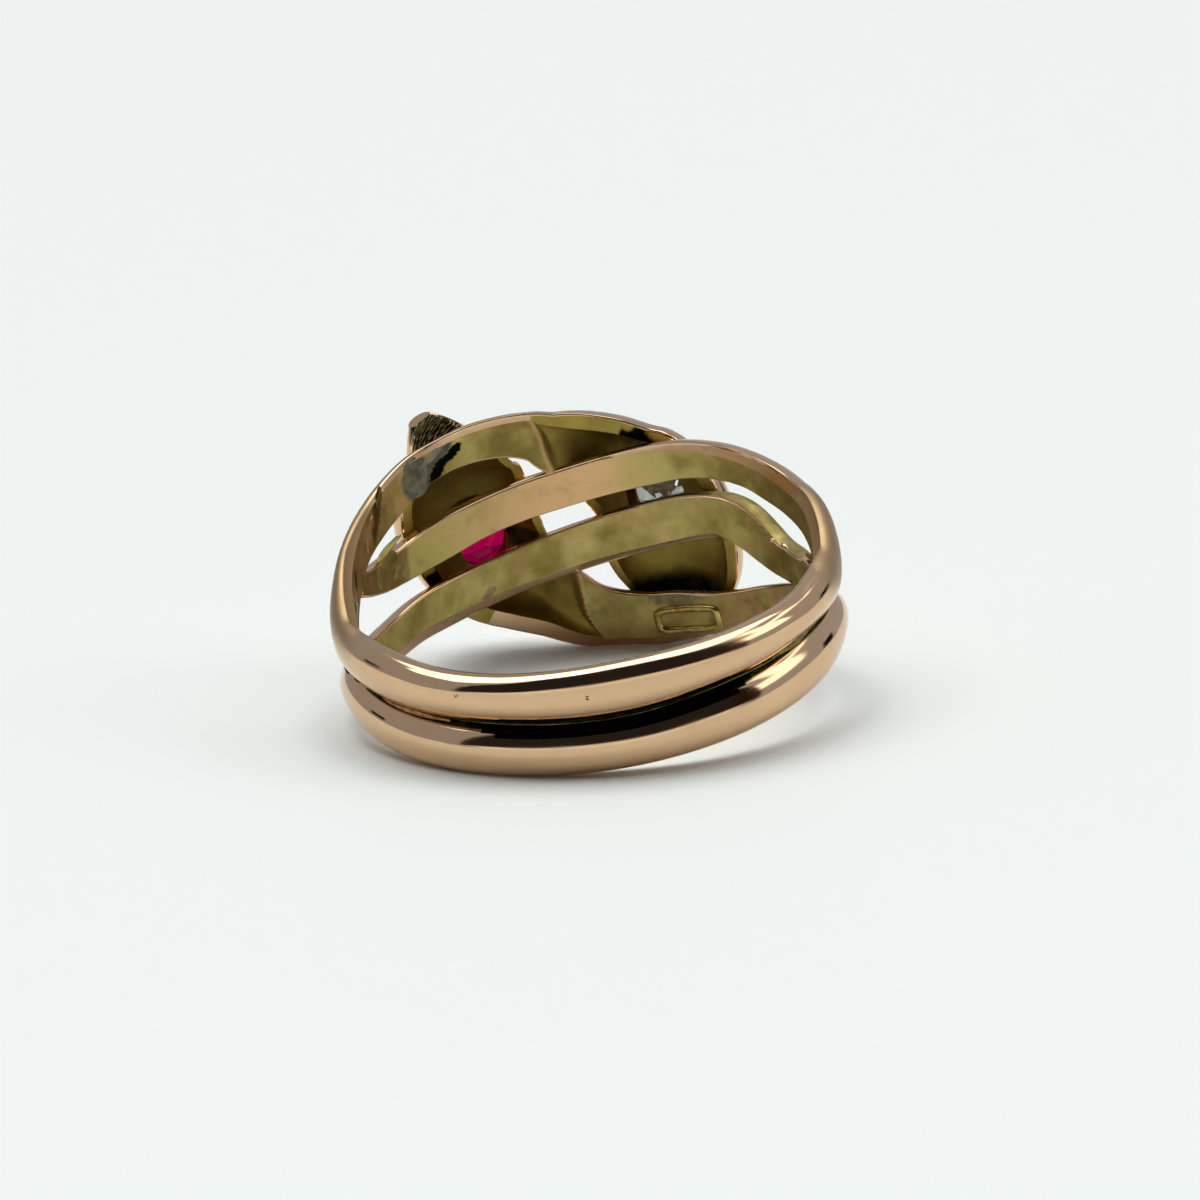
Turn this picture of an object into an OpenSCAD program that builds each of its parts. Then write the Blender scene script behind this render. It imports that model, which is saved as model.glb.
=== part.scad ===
/* [Band] */
// Inside radius of the ring, where the finger goes
bore_r = 8.6; // [8.2:0.1:9.2]
// Radial thickness of the half-round wires
wire_t = 1.0; // [0.9:0.05:1.1]
// Height of the groove between the two wires at the back, above the middle of the band
groove_h = 0; // [-0.1:0.05:0.2]
// How far the solder fills the groove between the two wires
groove_fill = 0.35; // [0.25:0.05:0.5]

/* [Heads] */
// Gauge of the sheet that the hollow heads and necks are stamped from
sheet_t = 0.4; // [0.3:0.05:0.5]
// Radius of the hole that opens under each stone
seat_hole_r = 1.05; // [0.85:0.05:1.1]
// Outside radius of the collar around each stone
collar_r = 1.85; // [1.75:0.05:2.1]

/* [Stones] */
// Radius of each stone at its girdle
stone_r = 1.35; // [1.25:0.05:1.4]
// Depth of a stone below its girdle
pavilion = 1.1; // [1:0.05:1.2]
// Height of a stone above its girdle
crown = 0.5; // [0.4:0.05:0.6]
// Gap between a stone and its seat
stone_gap = 0.05; // [0.03:0.01:0.08]

/* [Rest] */
// How far the front of the ring is raised as it lies on its side
rest_tilt = 10.2; // [9.8:0.1:10.6]
// How far the ring leans over sideways as it lies
rest_lean = -5.2; // [-5.6:0.1:-4.8]

/* [Hidden] */

// Columns of the strand rows: angle from the front towards +X, height along the
// finger, width, height of the lower edge and of the crown above the bore, and how
// far the section is hollowed out, from 0 for a solid wire to 1 for a sheet shell
ANG = 0;
HGT = 1;
WID = 2;
RIM = 3;
TOP = 4;
HOL = 5;

// The top strand of the diamond snake, from the left shoulder to its neck and snout
top_strand = [
    [-106, 0.98, 2.1, 0.12, 1.05, 0],
    [-98, 1, 2.1, 0.12, 1.05, 0],
    [-89, 1.4, 2.1, 0.12, 0.95, 0],
    [-79, 2.1, 2, 0.12, 0.8, 0],
    [-69, 2.75, 1.8, 0.12, 0.7, 0],
    [-60, 3.15, 1.8, 0.12, 0.7, 0],
    [-51, 3.55, 1.8, 0.12, 0.7, 0],
    [-42, 3.95, 1.65, 0.12, 0.7, 0],
    [-33, 4.17, 1.5, 0.12, 0.7, 0],
    [-24, 4.25, 1.55, 0.12, 0.8, 0],
    [-15, 4.15, 1.7, 0.12, 0.9, 0],
    [-8, 3.9, 2, 0.12, 1.1, 0],
    [-3, 3.5, 2.5, 0.12, 1.4, 0.5],
    [4, 3, 3.1, 0.2, 1.9, 1],
    [9, 2.45, 3.7, 0.5, 2.3, 1],
    [13, 1.8, 4.4, 0.8, 2.6, 1],
    [17, 1.1, 5.1, 0.9, 2.9, 1],
    [20, 0.2, 5.6, 0.9, 3, 1],
    [22, -1.1, 5.8, 0.9, 2.9, 1],
    [23.5, -2.5, 5.3, 0.9, 2.6, 1],
    [24.5, -3.8, 4, 0.9, 2.3, 1],
    [25.5, -4.8, 2.6, 1, 2, 0.7],
    [26.5, -5.5, 1.3, 1.3, 1.8, 0],
];
// The upper diagonal, from the right shoulder to the tail soldered at the left
upper_diagonal = [
    [106, 0.98, 2.1, 0.12, 1.05, 0],
    [98, 1, 2.1, 0.12, 1.05, 0],
    [89, 1.45, 1.9, 0.12, 1, 0],
    [79, 1.9, 1.75, 0.12, 1, 0],
    [68, 2.1, 1.65, 0.12, 1, 0],
    [58, 2.3, 1.65, 0.12, 1, 0],
    [49, 2.5, 1.5, 0.12, 1, 0],
    [40, 2.57, 1.5, 0.12, 1, 0],
    [30, 2.48, 1.55, 0.12, 1, 0],
    [20, 2.2, 1.65, 0.12, 1, 0],
    [9, 1.87, 1.65, 0.12, 1, 0],
    [-2, 1.58, 1.65, 0.12, 1, 0],
    [-13, 1.36, 1.65, 0.12, 1, 0],
    [-24, 1.15, 1.65, 0.12, 1, 0],
    [-35, 0.92, 1.75, 0.12, 1, 0],
    [-46, 0.78, 1.6, 0.12, 1, 0],
    [-56, 0.8, 1.4, 0.12, 1, 0],
    [-65, 1.05, 1.15, 0.12, 1, 0],
    [-74, 1.5, 0.9, 0.12, 0.9, 0],
];
// The lower diagonal, from the left shoulder to the tail soldered at the right
lower_diagonal = [
    [-106, -0.98, 2.1, 0.12, 1.05, 0],
    [-98, -1, 2.1, 0.12, 1.05, 0],
    [-89, -1.3, 1.95, 0.12, 1, 0],
    [-79, -1.65, 1.9, 0.12, 1, 0],
    [-69, -1.88, 1.9, 0.12, 1, 0],
    [-58, -1.95, 1.9, 0.12, 1, 0],
    [-47, -1.84, 1.95, 0.12, 1, 0],
    [-36, -1.78, 2, 0.12, 1, 0],
    [-25, -1.64, 1.95, 0.12, 1, 0],
    [-14, -1.42, 1.95, 0.12, 1, 0],
    [-3, -1.12, 2, 0.12, 1, 0],
    [8, -0.78, 2, 0.12, 1, 0],
    [19, -0.4, 2, 0.12, 1, 0],
    [30, 0.02, 1.95, 0.12, 1, 0],
    [40, 0.23, 1.85, 0.12, 1, 0],
    [47, -0.05, 1.9, 0.12, 1, 0],
    [53, -0.52, 1.75, 0.12, 1, 0],
    [58, -0.83, 1.55, 0.12, 1, 0],
    [64, -0.92, 1.45, 0.12, 1, 0],
    [70, -0.93, 1.4, 0.12, 0.95, 0],
    [77, -0.8, 1.3, 0.12, 0.9, 0],
    [84, -0.5, 1.2, 0.12, 0.9, 0],
];
// The bottom strand of the ruby snake, from the right shoulder to its neck and snout
bottom_strand = [
    [106, -0.98, 2.1, 0.12, 1.05, 0],
    [98, -1, 2.1, 0.12, 1.05, 0],
    [89, -1.35, 2, 0.12, 1, 0],
    [79, -1.85, 1.85, 0.12, 1, 0],
    [69, -2.3, 1.75, 0.12, 1, 0],
    [60, -2.75, 1.7, 0.12, 1, 0],
    [51, -3.2, 1.65, 0.12, 1, 0],
    [42, -3.67, 1.65, 0.12, 1, 0],
    [33, -4.04, 1.8, 0.12, 0.95, 0],
    [24, -4.24, 2.15, 0.12, 0.9, 0],
    [15, -4.4, 2.35, 0.12, 0.9, 0],
    [6, -4.22, 2.5, 0.12, 1.1, 0],
    [-1, -3.86, 2.85, 0.12, 1.4, 0.5],
    [-8, -3.1, 3.3, 0.2, 1.9, 1],
    [-13.5, -2.4, 4, 0.5, 2.4, 1],
    [-18.5, -1.6, 4.8, 0.85, 2.8, 1],
    [-22.5, -0.6, 5.4, 0.9, 3, 1],
    [-25.5, 0.7, 5.7, 0.9, 2.9, 1],
    [-27.7, 2, 5.7, 0.9, 2.6, 1],
    [-28.5, 3.15, 4.4, 0.9, 2.3, 1],
    [-30, 4.1, 3, 0.95, 2, 0.9],
    [-31.5, 4.9, 1.9, 1.1, 1.8, 0.5],
    [-32.5, 5.4, 1, 1.3, 1.7, 0],
];

// Where each stone stands: angle from the front, height along the finger, and the
// distance of its girdle from the middle of the bore
ruby_place = [-20, -0.8, 11.3];
diamond_place = [18.5, 0.1, 11.3];

// Radius at which the rows are laid flat, so that widths are true about there
flat_r = bore_r + 1.1;
// Angle from the front at which the shoulders turn into the back wires
wires_from = 100;
// Sections for each row, points around a dome, and the step that finds a slope
sweep_steps = 2;
arc_points = 7;
slope_step = 0.1;
// How far a strand's inner face lies inside the bore before the bore trims it flush,
// a little more for each strand so that no two faces coincide
bury = 0.42;
bury_step = 0.06;
// Heights of the top and the bottom edge of the two wires at the back
wires_top = 2;
wires_bottom = -1.975;
// How far the wires overlap, and the width of the solder in the groove
wire_overlap = 0.05;
solder_w = 0.5;
// Seats: how far the ledge lies below the girdle, the depth of the hole below it,
// and the room that is cut for the stone above it
ledge = 0.32;
seat_depth = 1.4;
stone_room = 2;
// Stones: thickness of the girdle and radius of the table
girdle_t = 0.12;
table_r = 0.75;
// Collars: height above the girdle and depth below it
collar_up = 0.3;
collar_down = 0.5;
// Length of the cutter that trims the bore, and the turn of its seam, which lies just
// in front of the right shoulder, where no window in the front crosses it
bore_cut = 40;
bore_seam = 15;
// Brings the lying ring onto the floor, with the middle of its box over the origin
rest_shift = [-0.02, -0.97, 3.67];
fine = 64;

// A smooth curve through the rows, at row number u
function before(t, i) = i > 0 ? t[i - 1] : 2 * t[0] - t[1];
function after(t, i) = i < len(t) - 1 ? t[i + 1] : 2 * t[i] - t[i - 1];
function cubic(a, b, c, d, v) =
    0.5 * (2 * b + (c - a) * v + (2 * a - 5 * b + 4 * c - d) * v * v
    + (3 * b - a - 3 * c + d) * v * v * v);
function row(t, u) =
    let (i = min(floor(u), len(t) - 2))
    cubic(before(t, i), t[i], t[i + 1], after(t, i + 1), u - i);

// The same rows laid flat, as distance around the bore and height along it
function flat(t, u) =
    let (r = row(t, max(0, min(len(t) - 1, u))))
    [flat_r * r[ANG] * PI / 180, r[HGT]];
function across(t, u) =
    let (d = flat(t, u + slope_step) - flat(t, u - slope_step))
    [-d.y, d.x] / norm(d);

// A point at distance s across a strand and h above the bore
function wrapped(t, u, s, h) =
    let (p = flat(t, u) + s * across(t, u), a = p.x / flat_r * 180 / PI)
    [(bore_r + h) * sin(a), (bore_r + h) * cos(a), p.y];

// One section of a strand: the dome outside, then the flat or hollow inside
function section(t, u, deep) =
    let (r = row(t, u), solid = 1 - r[HOL], half = r[WID] / 2)
    let (low = r[RIM] - deep * solid, inner = half - sheet_t * r[HOL])
    let (rise = (r[TOP] - sheet_t - r[RIM]) * r[HOL])
    let (step = 180 / (arc_points - 1))
    concat(
        [for (k = [0:arc_points - 1])
            wrapped(t, u, half * cos(k * step), r[RIM] + (r[TOP] - r[RIM]) * sin(k * step))],
        [for (k = [arc_points - 1:-1:0])
            wrapped(t, u, inner * cos(k * step), low + rise * sin(k * step))]
    );

// A strand swept through its rows
module strand(t, deep) {
    stations = (len(t) - 1) * sweep_steps;
    m = 2 * arc_points;
    points = [for (j = [0:stations]) each section(t, j / sweep_steps, deep)];
    sides = [for (j = [0:stations - 1], k = [0:m - 1])
        let (a = j * m + k, b = j * m + (k + 1) % m)
        each [[a, b, b + m], [a, b + m, a + m]]];
    start = [for (k = [0:arc_points - 2])
        each [[k + 1, k, m - 1 - k], [k + 1, m - 1 - k, m - 2 - k]]];
    last = stations * m;
    end = [for (f = start) [last + f[2], last + f[1], last + f[0]]];
    polyhedron(points, concat(sides, start, end), convexity = 8);
}

// The two half-round wires and the solder between them, around the back
module back_wire(bottom, top) {
    rotate_extrude(angle = 360 - 2 * wires_from, start = 90 + wires_from, $fn = fine)
        translate([bore_r, (bottom + top) / 2])
            scale([wire_t, (top - bottom) / 2])
                circle(r = 1);
}

module back_wires() {
    back_wire(groove_h - wire_overlap / 2, wires_top);
    back_wire(wires_bottom, groove_h + wire_overlap / 2);
    rotate_extrude(angle = 360 - 2 * wires_from, start = 90 + wires_from, $fn = fine)
        translate([bore_r - wire_t / 2, groove_h - solder_w / 2])
            square([wire_t / 2 + groove_fill, solder_w]);
}

// Turns a shape built along +Z, with its girdle at zero, out to its place on a head
module at_place(place) {
    rotate([0, 0, -place[0]])
        translate([0, place[2], place[1]])
            rotate([-90, 0, 0])
                children();
}

module collar() {
    translate([0, 0, -collar_down])
        cylinder(r = collar_r, h = collar_down + collar_up, $fn = fine);
}

module seat() {
    translate([0, 0, -seat_depth])
        cylinder(r = seat_hole_r, h = 2 * seat_depth, $fn = fine);
    translate([0, 0, -ledge - stone_gap])
        cylinder(r = stone_r + stone_gap, h = stone_room, $fn = fine);
}

module stone() {
    rotate_extrude($fn = fine)
        polygon([
            [0, -pavilion],
            [stone_r, -girdle_t / 2],
            [stone_r, girdle_t / 2],
            [table_r, crown],
            [0, crown],
        ]);
}

module as_it_lies() {
    translate(rest_shift)
        rotate([rest_tilt, rest_lean, 0])
            children();
}

module snake_band() {
    color("#c9a27a")
        as_it_lies()
            difference() {
                union() {
                    back_wires();
                    strand(top_strand, bury);
                    strand(upper_diagonal, bury + bury_step);
                    strand(lower_diagonal, bury + 2 * bury_step);
                    strand(bottom_strand, bury + 3 * bury_step);
                    at_place(ruby_place) collar();
                    at_place(diamond_place) collar();
                }
                at_place(ruby_place) seat();
                at_place(diamond_place) seat();
                rotate([0, 0, bore_seam])
                    translate([0, 0, -bore_cut / 2])
                        cylinder(r = bore_r, h = bore_cut, $fn = 2 * fine);
            }
}

module ruby() {
    color("#a00a55") as_it_lies() at_place(ruby_place) stone();
}

module diamond() {
    color("#eef2f2") as_it_lies() at_place(diamond_place) stone();
}

snake_band();
ruby();
diamond();
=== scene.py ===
import math

import bmesh
import bpy
from mathutils import Matrix, Vector, noise


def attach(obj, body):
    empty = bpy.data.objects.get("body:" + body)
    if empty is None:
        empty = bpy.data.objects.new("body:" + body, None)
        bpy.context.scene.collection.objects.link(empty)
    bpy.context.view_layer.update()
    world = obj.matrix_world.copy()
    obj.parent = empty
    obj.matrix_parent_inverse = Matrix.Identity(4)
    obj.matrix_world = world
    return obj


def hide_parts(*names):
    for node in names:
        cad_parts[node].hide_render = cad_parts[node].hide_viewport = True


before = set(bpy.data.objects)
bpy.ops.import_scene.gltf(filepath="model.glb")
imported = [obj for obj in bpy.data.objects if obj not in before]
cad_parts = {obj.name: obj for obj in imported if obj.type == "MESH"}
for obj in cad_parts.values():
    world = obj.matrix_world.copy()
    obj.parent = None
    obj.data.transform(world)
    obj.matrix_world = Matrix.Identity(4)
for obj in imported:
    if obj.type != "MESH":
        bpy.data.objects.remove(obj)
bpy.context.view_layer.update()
print("frame loaded")

# Everything is modelled in millimetres with the finger hole along Z and the heads
# towards +Y. The matrix lying then turns a finished piece onto the floor, in metres.
ring = {
    "boreRadius": 8.6,
    "flatRadius": 9.7,  # widths and lengths are true at this radius
    "tilt": 10.2,  # degrees that the front is raised by as the ring lies
    "lean": -5.2,
    "shift": (-0.02, -0.97, 3.67),
    "metresPerMillimetre": 0.001,
    "bumpDepth": 0.0001,  # metres, of the finest marks in every metal
}
lying = (
    Matrix.Scale(ring["metresPerMillimetre"], 4)
    @ Matrix.Translation(ring["shift"])
    @ Matrix.Rotation(math.radians(ring["lean"]), 4, "Y")
    @ Matrix.Rotation(math.radians(ring["tilt"]), 4, "X")
)


def onRing(angle, height, out):
    # angle from the front towards +X, height along the finger, out from the bore
    turn = math.radians(angle)
    radius = ring["boreRadius"] + out
    return Vector((radius * math.sin(turn), radius * math.cos(turn), height))


def turned(along, across, degrees):
    turn = math.radians(degrees)
    return (along * math.cos(turn) - across * math.sin(turn),
            along * math.sin(turn) + across * math.cos(turn))


def facingOut(angle, height, out):
    # turns a shape's +Z to point straight out of the ring at that place
    turn = Matrix.Rotation(math.radians(-angle), 4, "Z") @ Matrix.Rotation(math.radians(-90), 4, "X")
    return Matrix.Translation(onRing(angle, height, out)) @ turn


def onlySelect(piece):
    bpy.ops.object.select_all(action="DESELECT")
    piece.select_set(True)
    bpy.context.view_layer.objects.active = piece


def applyPlace(piece, place):
    onlySelect(piece)
    piece.matrix_world = place
    bpy.ops.object.transform_apply(location=True, rotation=True, scale=True)


def applyModifier(piece, kind, **settings):
    onlySelect(piece)
    modifier = piece.modifiers.new(kind.title(), kind)
    for name, value in settings.items():
        setattr(modifier, name, value)
    bpy.ops.object.modifier_apply(modifier=modifier.name)


def smoothShade(piece, degrees):
    onlySelect(piece)
    bpy.ops.object.shade_smooth_by_angle(angle=math.radians(degrees))


def faceOutwards(piece):
    onlySelect(piece)
    bpy.ops.object.mode_set(mode="EDIT")
    bpy.ops.mesh.select_all(action="SELECT")
    bpy.ops.mesh.normals_make_consistent(inside=False)
    bpy.ops.object.mode_set(mode="OBJECT")


def finishPiece(piece, slotName, *nodes):
    applyPlace(piece, lying)
    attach(piece, "root")
    if nodes:
        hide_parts(*nodes)


def ramp(low, high, value):
    t = min(max((value - low) / (high - low), 0), 1)
    return t * t * (3 - 2 * t)


# Materials

def linear(hexColour):
    values = [int(hexColour[i:i + 2], 16) / 255 for i in (1, 3, 5)]
    return [v / 12.92 if v <= 0.04045 else ((v + 0.055) / 1.055) ** 2.4 for v in values] + [1.0]


def addNode(tree, kind, sockets=None, stops=None, **settings):
    node = tree.nodes.new(kind)
    for name, value in settings.items():
        setattr(node, name, value)
    for socket, value in (sockets or {}).items():
        if isinstance(value, bpy.types.NodeSocket):
            tree.links.new(value, node.inputs[socket])
        else:
            node.inputs[socket].default_value = value
    for number, (position, colour) in enumerate(stops or []):
        if number > 1:
            node.color_ramp.elements.new(position)
        node.color_ramp.elements[number].position = position
        node.color_ramp.elements[number].color = colour
    return node


def newMaterial(name):
    material = bpy.data.materials.new(name)
    material.use_nodes = True
    material.node_tree.nodes.clear()
    return material, material.node_tree


def perMillimetre(size):
    # noise scale in metres for a pattern whose grain is this many millimetres
    return 1 / (size * ring["metresPerMillimetre"])


# Nine-carat rose gold, drawn wire polished by years of wear: a warm mirror with fine
# hairlines along the wire and a slightly duller bloom between them. Worn shoulders are
# rougher from wear and also painted darker, which is painted shade.
roseGoldSettings = {
    "colour": "#DEBB95",
    "worn": "#D2AE86",
    "polished nine carat rose gold": (0.05, 0.16),  # roughness
    "worn satin rose gold": (0.26, 0.38),
    "wear": 0.36,  # roughness that full wear adds
    # painted shade: the darker colour of the worn shoulders
    "dull": "#A58A66",
    "bloomSize": 1.4,  # mm
    "bloomRange": (0.35, 0.7),  # of the bloom, over which the roughness goes from low to high
    "hairline": 0.05,  # mm, drawn coarser than real so that it shows
    "hairlineLength": 0.4,  # hairlines a millimetre along the wire
    "hairlineDepth": 0.02,
}


def makeRoseGold(name):
    s = roseGoldSettings
    material, tree = newMaterial(name)
    where = addNode(tree, "ShaderNodeTexCoord")
    flow = addNode(tree, "ShaderNodeUVMap", uv_map="flow")
    bloom = addNode(tree, "ShaderNodeTexNoise",
                    {"Vector": where.outputs["Object"], "Scale": perMillimetre(s["bloomSize"]),
                     "Detail": 3.0})
    colour = addNode(tree, "ShaderNodeMix",
                     {"Factor": bloom.outputs["Fac"], 6: linear(s["colour"]), 7: linear(s["worn"])},
                     data_type="RGBA")
    stretched = addNode(tree, "ShaderNodeMapping",
                        {"Vector": flow.outputs["UV"],
                         "Scale": (s["hairlineLength"], 1 / s["hairline"] / 2, 1.0)})
    hair = addNode(tree, "ShaderNodeTexNoise",
                   {"Vector": stretched.outputs["Vector"], "Scale": 1.0, "Detail": 2.0})
    rough = addNode(tree, "ShaderNodeMapRange",
                    {"Value": bloom.outputs["Fac"], "From Min": s["bloomRange"][0],
                     "From Max": s["bloomRange"][1], "To Min": s[name][0], "To Max": s[name][1]})
    worn = addNode(tree, "ShaderNodeAttribute", attribute_name="worn")
    rougher = addNode(tree, "ShaderNodeMath",
                      {0: worn.outputs["Fac"], 1: s["wear"], 2: rough.outputs["Result"]},
                      operation="MULTIPLY_ADD")
    # worn places painted darker, as painted shade
    shoulderShaded = addNode(tree, "ShaderNodeMix",
                     {"Factor": worn.outputs["Fac"], 6: colour.outputs[2], 7: linear(s["dull"])},
                     data_type="RGBA")
    bump = addNode(tree, "ShaderNodeBump",
                   {"Height": hair.outputs["Fac"], "Strength": s["hairlineDepth"],
                    "Distance": ring["bumpDepth"]})
    shader = addNode(tree, "ShaderNodeBsdfPrincipled",
                     {"Base Color": shoulderShaded.outputs[2], "Metallic": 1.0,
                      "Roughness": rougher.outputs["Value"], "Normal": bump.outputs["Normal"]})
    addNode(tree, "ShaderNodeOutputMaterial", {"Surface": shader.outputs["BSDF"]})
    return material


# The faces that touch the finger: filed flat, never polished again, with a greenish
# brown film where skin does not rub and bare pinkish metal where it does. Grey lead
# solder lies over it in patches, and so do black patches: some are tarnish and some
# are painted shadow, as under the lead solder and low in the ruby head.
innerGoldSettings = {
    "bare": "#E8BF8E",
    "film": "#D6C87E",
    "darkFilm": "#A3934E",
    "dirt": "#5C4620",
    "lead": "#8F8E82",
    # black: tarnish in some patches, painted shadow in others
    "leadDark": "#3A3B34",
    "black": "#0B0D09",
    "paintedShade": "#1E180A",  # painted shade in the bottoms of the hollow heads
    "roughness": (0.42, 0.55),
    "cloudSize": 0.9,  # mm
    "wideSize": 1.4,  # mm, from one light area of film to the next
    "edgeSize": 0.3,  # mm, the raggedness of a patch's edge
    # how far the clouds break up a layer, and the amounts at which it starts and covers
    "layers": {
        "film": (0.9, 0.0, 1.0),
        "dirt": (0.8, 0.25, 0.95),
        "lead": (0.6, 0.3, 0.8),
        "paintedShade": (1.0, 0.1, 0.9),
        "black": (0.5, 0.3, 0.7),
    },
    "ragged": ("lead", "black"),  # layers with a ragged edge; the others fade
    "dirtShift": 0.4,  # how far dirt darkens the film
    "wideRange": (0.38, 0.66),
    "fileMark": 0.07,  # mm between file marks
    "fileLength": 1.2,  # file marks a millimetre along the wire
    "fileDepth": 0.12,
    "creaseHighlightStrip": (-0.22, -0.06),  # mm past the crease, where the painted highlight strip starts and is full
    "creaseHighlightShare": 0.55,  # share of bare gold painted along the crease as a highlight
    "creaseBlend": 0.1,  # mm past the crease at which the colour of the hollow is full
}


# Inside of the stamped heads: rough from the stamping, never cleaned, dark olive, with
# fine ridges in the snout, whose valleys are painted with shade and crests with highlights.
hollowGoldSettings = {
    "colour": "#D6C066",
    "dirt": "#8A783A",
    "roughness": 0.5,
    "dirtSize": 1.1,  # mm
    "ridgeWithPaintedLight": "#E6DCB0",  # painted highlight on the crests of the ridges that the stamp left in the snout
    # painted shade in the valleys between the ridges
    "paintedValleyShade": "#2A2008",
    "ridgeSize": 0.19,  # mm from crest to crest
    "waveBand": 0.44,  # from crest to crest of a slanting wave pattern of scale one
    "ridgeWander": 7.0,
    "crestPower": 3.0,
}


def hollowColour(tree, where):
    s = hollowGoldSettings
    cloud = addNode(tree, "ShaderNodeTexNoise",
                    {"Vector": where.outputs["Object"], "Scale": perMillimetre(s["dirtSize"]),
                     "Detail": 4.0})
    colour = addNode(tree, "ShaderNodeMix",
                     {"Factor": cloud.outputs["Fac"], 6: linear(s["colour"]), 7: linear(s["dirt"])},
                     data_type="RGBA")
    return colour.outputs[2]


def makeHollowGold():
    material, tree = newMaterial("stamped gold left dark inside")
    where = addNode(tree, "ShaderNodeTexCoord")
    shader = addNode(tree, "ShaderNodeBsdfPrincipled",
                     {"Base Color": hollowColour(tree, where), "Metallic": 1.0,
                      "Roughness": hollowGoldSettings["roughness"]})
    addNode(tree, "ShaderNodeOutputMaterial", {"Surface": shader.outputs["BSDF"]})
    return material


def makeInnerGold():
    s = innerGoldSettings
    h = hollowGoldSettings
    material, tree = newMaterial("unpolished gold with a skin film")
    where = addNode(tree, "ShaderNodeTexCoord")
    flow = addNode(tree, "ShaderNodeUVMap", uv_map="flow")
    cloud = addNode(tree, "ShaderNodeTexNoise",
                    {"Vector": where.outputs["Object"], "Scale": perMillimetre(s["cloudSize"]),
                     "Detail": 4.0})
    ragged = addNode(tree, "ShaderNodeTexNoise",
                     {"Vector": where.outputs["Object"], "Scale": perMillimetre(s["edgeSize"]),
                      "Detail": 3.0})

    # how much of each layer shows, with its edge broken up
    shares = {}
    for layer, (breakUp, low, high) in s["layers"].items():
        amount = addNode(tree, "ShaderNodeAttribute", attribute_name=layer)
        source = ragged if layer in s["ragged"] else cloud
        spread = addNode(tree, "ShaderNodeMath", {0: source.outputs["Fac"], 1: 0.5},
                         operation="SUBTRACT")
        shifted = addNode(tree, "ShaderNodeMath",
                          {0: spread.outputs["Value"], 1: breakUp, 2: amount.outputs["Fac"]},
                          operation="MULTIPLY_ADD")
        share = addNode(tree, "ShaderNodeMapRange",
                        {"Value": shifted.outputs["Value"], "From Min": low, "From Max": high})
        shares[layer] = share.outputs["Result"]

    # the film is light and dark in wide areas, and darker where there is dirt
    wide = addNode(tree, "ShaderNodeTexNoise",
                   {"Vector": where.outputs["Object"], "Scale": perMillimetre(s["wideSize"]),
                    "Detail": 6.0})
    dirt = addNode(tree, "ShaderNodeAttribute", attribute_name="dirt")
    wideDirt = addNode(tree, "ShaderNodeMath",
                       {0: dirt.outputs["Fac"], 1: s["dirtShift"], 2: wide.outputs["Fac"]},
                       operation="MULTIPLY_ADD")
    wideShare = addNode(tree, "ShaderNodeMapRange",
                        {"Value": wideDirt.outputs["Value"], "From Min": s["wideRange"][0],
                         "From Max": s["wideRange"][1]})
    film = addNode(tree, "ShaderNodeMix",
                   {"Factor": wideShare.outputs["Result"], 6: linear(s["film"]),
                    7: linear(s["darkFilm"])}, data_type="RGBA")
    lead = addNode(tree, "ShaderNodeMix",
                   {"Factor": ragged.outputs["Fac"], 6: linear(s["lead"]),
                    7: linear(s["leadDark"])}, data_type="RGBA")

    # the attribute "hollow" is the distance past the crease in millimetres
    hollow = addNode(tree, "ShaderNodeAttribute", attribute_name="hollow")
    # painted highlight: a strip of bare gold along the crease, where its edge catches the light
    paintedCreaseHighlight = addNode(tree, "ShaderNodeMapRange",
                     {"Value": hollow.outputs["Fac"], "From Min": s["creaseHighlightStrip"][0],
                      "From Max": s["creaseHighlightStrip"][1], "To Max": s["creaseHighlightShare"]})
    inHollow = addNode(tree, "ShaderNodeMapRange",
                       {"Value": hollow.outputs["Fac"], "From Min": 0.0, "From Max": s["creaseBlend"]})

    # ridges in the snout: a bump, with painted shade in the valleys and painted highlights along the crests
    ridged = addNode(tree, "ShaderNodeAttribute", attribute_name="ridgeWithPaintedLight")
    crests = addNode(tree, "ShaderNodeTexWave",
                     {"Vector": flow.outputs["UV"], "Scale": h["waveBand"] / h["ridgeSize"],
                      "Distortion": h["ridgeWander"], "Detail": 2.0},
                     wave_type="BANDS", bands_direction="DIAGONAL")
    raised = addNode(tree, "ShaderNodeMath", {0: crests.outputs["Fac"], 1: ridged.outputs["Fac"]},
                     operation="MULTIPLY")
    paintedCrestHighlight = addNode(tree, "ShaderNodeMath", {0: raised.outputs["Value"], 1: h["crestPower"]},
                     operation="POWER")

    # each colour lies over the ones before it
    colour = linear(s["bare"])
    for share, over in ((shares["film"], film.outputs[2]),
                        (shares["dirt"], linear(s["dirt"])),
                        (shares["lead"], lead.outputs[2]),
                        # painted highlight along the crease
                        (paintedCreaseHighlight.outputs["Result"], linear(s["bare"])),
                        (inHollow.outputs["Result"], hollowColour(tree, where)),
                        # painted shade in the bottoms of the hollows
                        (shares["paintedShade"], linear(s["paintedShade"])),
                        # black: tarnish in places, painted shadow in others
                        (shares["black"], linear(s["black"])),
                        # painted shade in the ridge valleys, then painted highlights on the crests
                        (ridged.outputs["Fac"], linear(h["paintedValleyShade"])),
                        (paintedCrestHighlight.outputs["Value"], linear(h["ridgeWithPaintedLight"]))):
        mix = addNode(tree, "ShaderNodeMix", {"Factor": share, 6: colour, 7: over}, data_type="RGBA")
        colour = mix.outputs[2]

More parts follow.
